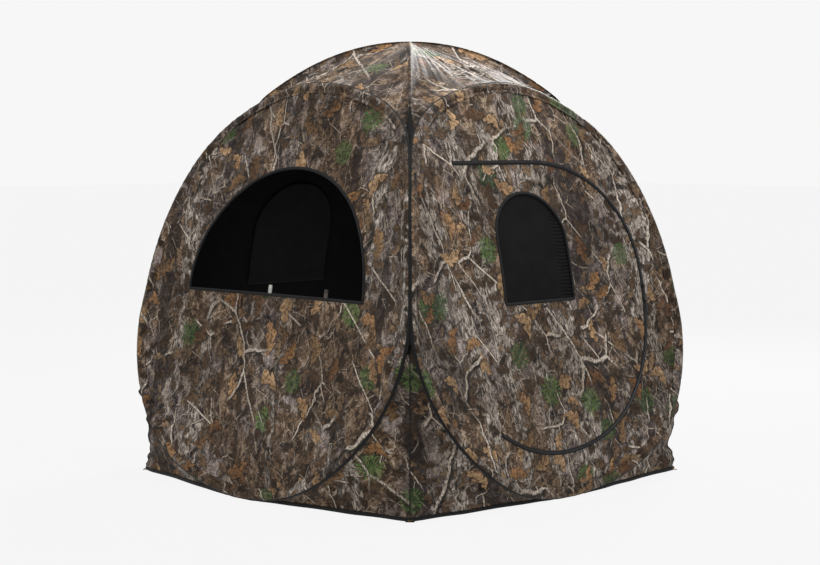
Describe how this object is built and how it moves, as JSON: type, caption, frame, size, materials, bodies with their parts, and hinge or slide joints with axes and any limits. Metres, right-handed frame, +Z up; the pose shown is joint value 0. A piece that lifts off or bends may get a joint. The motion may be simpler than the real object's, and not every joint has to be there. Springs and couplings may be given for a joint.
{
  "type": "pop up ground blind",
  "caption": "Square pop-up hide of woodland-pattern cloth on sprung steel hoops, with arched window, zipped door and corner gussets.",
  "frame": {"origin": "on the ground below the peak, at the middle of the base", "axes": "+Z up; the wall with the large window faces -Y and the door wall faces +X"},
  "size_m": [1.7118, 1.7378, 1.676],
  "materials": {
    "camo_cloth": null,
    "sleeve_cloth": null,
    "cover_cloth": "black-backed polyester",
    "camo_trim": "folded printed cloth",
    "black_webbing": "woven binding tape",
    "black_mesh": "fine knitted mesh",
    "black_plastic": "moulded, matte",
    "zinc": "black enamelled zinc",
    "spring_steel": "tempered spring steel",
    "ferrule_steel": "crimped tube",
    "eyelet_brass": "dull rolled eyelet"
  },
  "bodies": {
    "blind": {"wall_front": "camo_cloth", "wall_right": "camo_cloth", "wall_back": "camo_cloth", "wall_left": "camo_cloth", "hoop_front": "spring_steel", "hoop_right": "spring_steel", "hoop_back": "spring_steel", "hoop_left": "spring_steel", "sleeve_front": "sleeve_cloth", "sleeve_right": "sleeve_cloth", "sleeve_back": "sleeve_cloth", "sleeve_left": "sleeve_cloth", "roof_front": "camo_cloth", "roof_right": "camo_cloth", "roof_back": "camo_cloth", "roof_left": "camo_cloth", "peak_patch": "camo_cloth", "gusset_front_right": "camo_cloth", "gusset_back_right": "camo_cloth", "gusset_back_left": "camo_cloth", "gusset_front_left": "camo_cloth", "hem_front_right": "black_webbing", "hem_back_right": "black_webbing", "hem_back_left": "black_webbing", "hem_front_left": "black_webbing", "corner_tapes": "black_webbing", "hoop_ferrules": "ferrule_steel", "front_window_tape": "black_webbing", "front_toggles": "black_plastic", "sill_strap": "black_webbing", "sill_loops": "camo_trim", "zip_tape_wall": "black_webbing", "zip_coil_wall": "black_plastic", "left_window_tape": "black_webbing", "left_window_mesh": "black_mesh", "back_window_tape": "black_webbing", "back_window_mesh": "black_mesh", "stake_tabs": "black_webbing", "grommets": "eyelet_brass"},
    "front_cover": {"front_window_cover": "cover_cloth"},
    "door": {"door_panel": "camo_cloth", "zip_tape_door": "black_webbing", "zip_coil_door": "black_plastic", "door_window_tape": "black_webbing", "door_window_mesh": "black_mesh", "door_toggle": "black_plastic"},
    "door_cover": {"door_window_cover": "cover_cloth"},
    "left_cover": {"left_window_cover": "cover_cloth"},
    "back_cover": {"back_window_cover": "cover_cloth"},
    "slider_upper": {"zip_slider_upper": "zinc"},
    "slider_lower": {"zip_slider_lower": "zinc"},
    "pull_upper": {"zip_pull_upper": "black_plastic"},
    "pull_lower": {"zip_pull_lower": "black_plastic"}
  },
  "joints": [
    {"name": "front_cover_fold", "type": "hinge", "parent": "blind", "child": "front_cover", "pos_m": [0, -0.68302, 0.727], "axis": [1, 0, 0], "range_deg": [-6, 166]},
    {"name": "door_swing", "type": "hinge", "parent": "blind", "child": "door", "pos_m": [0.82737, -0.39, 0.28445], "axis": [0.2304, 0, -0.9731], "range_deg": [0, 110]},
    {"name": "door_cover_fold", "type": "hinge", "parent": "door", "child": "door_cover", "pos_m": [0.68704, 0, 0.705], "axis": [0, 1, 0], "range_deg": [-6, 166]},
    {"name": "back_cover_fold", "type": "hinge", "parent": "blind", "child": "back_cover", "pos_m": [0, 0.68704, 0.705], "axis": [1, 0, 0], "range_deg": [0, 166]},
    {"name": "left_cover_fold", "type": "hinge", "parent": "blind", "child": "left_cover", "pos_m": [-0.68704, 0, 0.705], "axis": [0, 1, 0], "range_deg": [0, 166]},
    {"name": "slider_upper_run", "type": "hinge", "parent": "blind", "child": "slider_upper", "pos_m": [0.47981, -0.0565, 0.69988], "axis": [0.9194, -0.372, 0.1276], "range_deg": [0, 13.3]},
    {"name": "pull_upper_lift", "type": "hinge", "parent": "slider_upper", "child": "pull_upper", "pos_m": [0.72432, 0.54939, 0.73869], "axis": [-0.0612, -0.9981, -0.0101], "range_deg": [0, 100]},
    {"name": "slider_lower_run", "type": "hinge", "parent": "blind", "child": "slider_lower", "pos_m": [0.76115, 0.04232, 0.70741], "axis": [-0.9786, -0.0695, -0.1938], "range_deg": [0, 14.9]},
    {"name": "pull_lower_lift", "type": "hinge", "parent": "slider_lower", "child": "pull_lower", "pos_m": [0.7351, 0.54929, 0.68056], "axis": [-0.0596, -0.9982, -0.012], "range_deg": [0, 100]}
  ]
}
